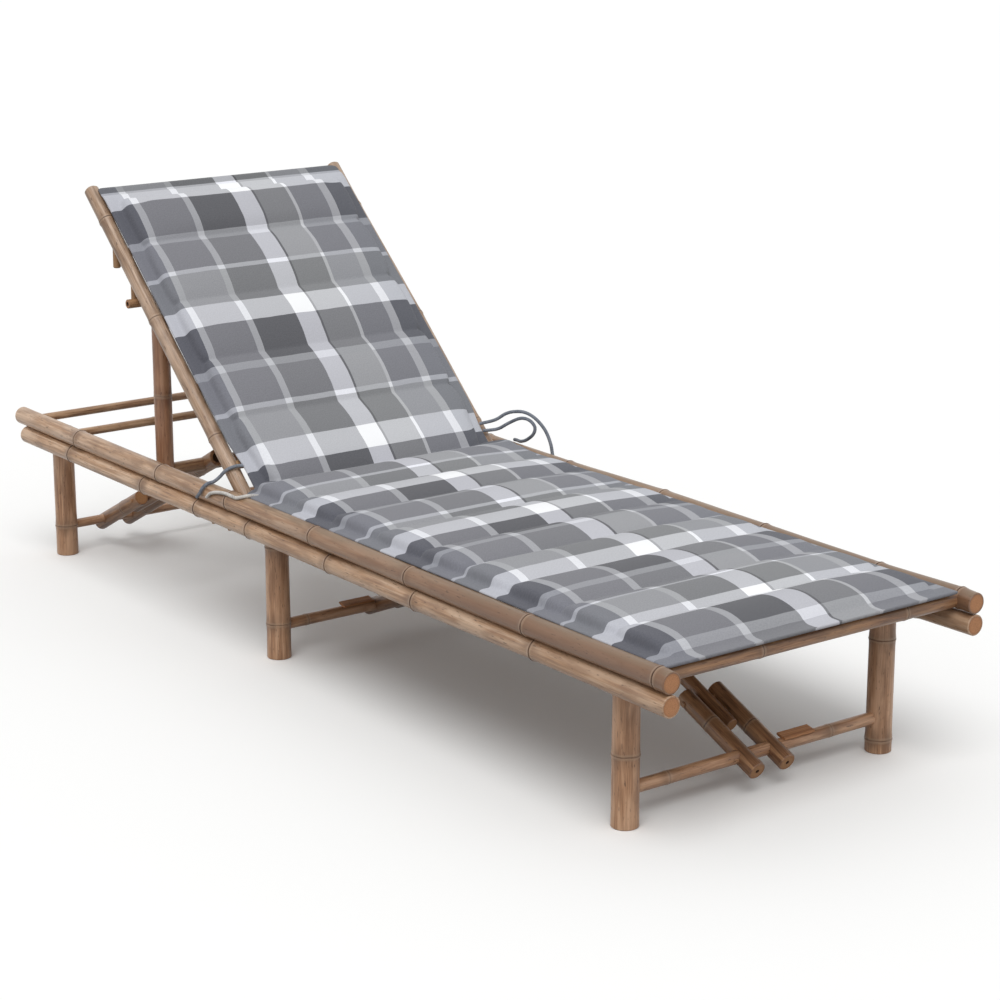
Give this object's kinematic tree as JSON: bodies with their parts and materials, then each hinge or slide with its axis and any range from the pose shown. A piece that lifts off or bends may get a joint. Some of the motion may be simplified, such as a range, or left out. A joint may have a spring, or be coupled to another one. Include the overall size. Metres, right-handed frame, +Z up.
{
  "type": "sun lounger",
  "caption": "Folding bamboo sun lounger with hinged propped backrest, folding leg frames on knee braces and a quilted plaid cushion tied to the side rails.",
  "frame": {"origin": "middle of the footprint on the floor, under the middle of the side rails", "axes": "+X towards the foot end, +Y to the side away from the pictured near side, +Z up"},
  "size_m": [2, 0.6645, 0.7657],
  "materials": {
    "bamboo": "satin natural bamboo skin with darker node rings",
    "bamboo_olive": "satin bamboo skin, olive brown",
    "bamboo_cut": "matt cut bamboo",
    "plaid_fabric": "woven cotton plaid in greys and white",
    "tie_fabric": "folded woven tape"
  },
  "bodies": {
    "base": {"foot_cross_rail": "bamboo", "head_cross_rail_1": "bamboo", "head_cross_rail_2": "bamboo", "hinge_rail": "bamboo", "leg_pin_foot_far": "bamboo_cut", "leg_pin_foot_near": "bamboo_cut", "leg_pin_head_far": "bamboo_cut", "leg_pin_head_near": "bamboo_cut", "leg_pin_middle_far": "bamboo_cut", "leg_pin_middle_near": "bamboo_cut", "pad_seat": "plaid_fabric", "pivot_rail_foot": "bamboo", "pivot_rail_head": "bamboo", "pivot_rail_middle": "bamboo", "rail_dowel_far_1": "bamboo_cut", "rail_dowel_far_2": "bamboo_cut", "rail_dowel_near_1": "bamboo_cut", "rail_dowel_near_2": "bamboo_cut", "rail_far_lower": "bamboo", "rail_far_upper": "bamboo", "rail_near_lower": "bamboo", "rail_near_upper": "bamboo", "seat_deck": "bamboo_cut", "tie_far_1": "tie_fabric", "tie_far_2": "tie_fabric", "tie_near_1": "tie_fabric", "tie_near_2": "tie_fabric"},
    "backrest": {"backrest_deck": "bamboo_cut", "backrest_rail_far": "bamboo_olive", "backrest_rail_near": "bamboo_olive", "backrest_top_rail": "bamboo", "hook_peg_far_1": "bamboo_cut", "hook_peg_far_2": "bamboo_cut", "hook_peg_near_1": "bamboo_cut", "hook_peg_near_2": "bamboo_cut", "pad_back": "plaid_fabric"},
    "brace_link_foot": {"brace_link_foot": "bamboo"},
    "brace_link_head": {"brace_link_head": "bamboo"},
    "brace_link_middle": {"brace_link_middle": "bamboo"},
    "brace_pair_foot": {"brace_pair_foot_far": "bamboo", "brace_pair_foot_near": "bamboo"},
    "brace_pair_head": {"brace_pair_head_far": "bamboo", "brace_pair_head_near": "bamboo"},
    "brace_pair_middle": {"brace_pair_middle_far": "bamboo", "brace_pair_middle_near": "bamboo"},
    "leg_frame_foot": {"leg_foot_far": "bamboo", "leg_foot_near": "bamboo", "stop_foot": "bamboo_cut", "stretcher_foot": "bamboo"},
    "leg_frame_head": {"leg_head_far": "bamboo", "leg_head_near": "bamboo", "stretcher_head": "bamboo"},
    "leg_frame_middle": {"leg_middle_far": "bamboo", "leg_middle_near": "bamboo", "stop_middle": "bamboo_cut", "stretcher_middle": "bamboo"},
    "prop_frame": {"prop_pole_far": "bamboo", "prop_pole_near": "bamboo", "prop_top_bar": "bamboo_cut"}
  },
  "joints": [
    {"name": "backrest_hinge", "type": "hinge", "parent": "base", "child": "backrest", "pos_m": [-0.207, 0, 0.2765], "axis": [0, -1, 0], "range_deg": [0, 35.8]},
    {"name": "prop_hinge", "type": "hinge", "parent": "backrest", "child": "prop_frame", "pos_m": [-0.566, 0, 0.56907], "axis": [0, -1, 0], "range_deg": [0, 48.07]},
    {"name": "leg_foot_fold", "type": "hinge", "parent": "base", "child": "leg_frame_foot", "pos_m": [0.847, 0, 0.2413], "axis": [0, 1, 0], "range_deg": [0, 62]},
    {"name": "brace_pair_foot_hinge", "type": "hinge", "parent": "leg_frame_foot", "child": "brace_pair_foot", "pos_m": [0.847, 0, 0.058], "axis": [0, -1, 0], "range_deg": [0, 169.79]},
    {"name": "brace_link_foot_hinge", "type": "hinge", "parent": "base", "child": "brace_link_foot", "pos_m": [0.41, 0, 0.2413], "axis": [0, 1, 0], "range_deg": [0, 16.76]},
    {"name": "leg_middle_fold", "type": "hinge", "parent": "base", "child": "leg_frame_middle", "pos_m": [-0.118, 0, 0.2413], "axis": [0, -1, 0], "range_deg": [0, 62]},
    {"name": "brace_pair_middle_hinge", "type": "hinge", "parent": "leg_frame_middle", "child": "brace_pair_middle", "pos_m": [-0.118, 0, 0.058], "axis": [0, 1, 0], "range_deg": [0, 169.82]},
    {"name": "brace_link_middle_hinge", "type": "hinge", "parent": "base", "child": "brace_link_middle", "pos_m": [0.32, 0, 0.2413], "axis": [0, -1, 0], "range_deg": [0, 16.69]},
    {"name": "leg_head_fold", "type": "hinge", "parent": "base", "child": "leg_frame_head", "pos_m": [-0.92, 0, 0.2413], "axis": [0, -1, 0], "range_deg": [0, 68]},
    {"name": "brace_pair_head_hinge", "type": "hinge", "parent": "leg_frame_head", "child": "brace_pair_head", "pos_m": [-0.92, 0, 0.058], "axis": [0, 1, 0], "range_deg": [0, 173.93]},
    {"name": "brace_link_head_hinge", "type": "hinge", "parent": "base", "child": "brace_link_head", "pos_m": [-0.567, 0, 0.2413], "axis": [0, -1, 0], "range_deg": [0, 25.56]}
  ],
  "couplings": [
    {"joint": "prop_hinge", "follows": "backrest_hinge", "ratio": 1.3429},
    {"joint": "brace_pair_foot_hinge", "follows": "leg_foot_fold", "ratio": 2.7386},
    {"joint": "brace_link_foot_hinge", "follows": "leg_foot_fold", "ratio": 0.27038},
    {"joint": "brace_pair_middle_hinge", "follows": "leg_middle_fold", "ratio": 2.7391},
    {"joint": "brace_link_middle_hinge", "follows": "leg_middle_fold", "ratio": 0.26914},
    {"joint": "brace_pair_head_hinge", "follows": "leg_head_fold", "ratio": 2.5579},
    {"joint": "brace_link_head_hinge", "follows": "leg_head_fold", "ratio": 0.37586}
  ]
}
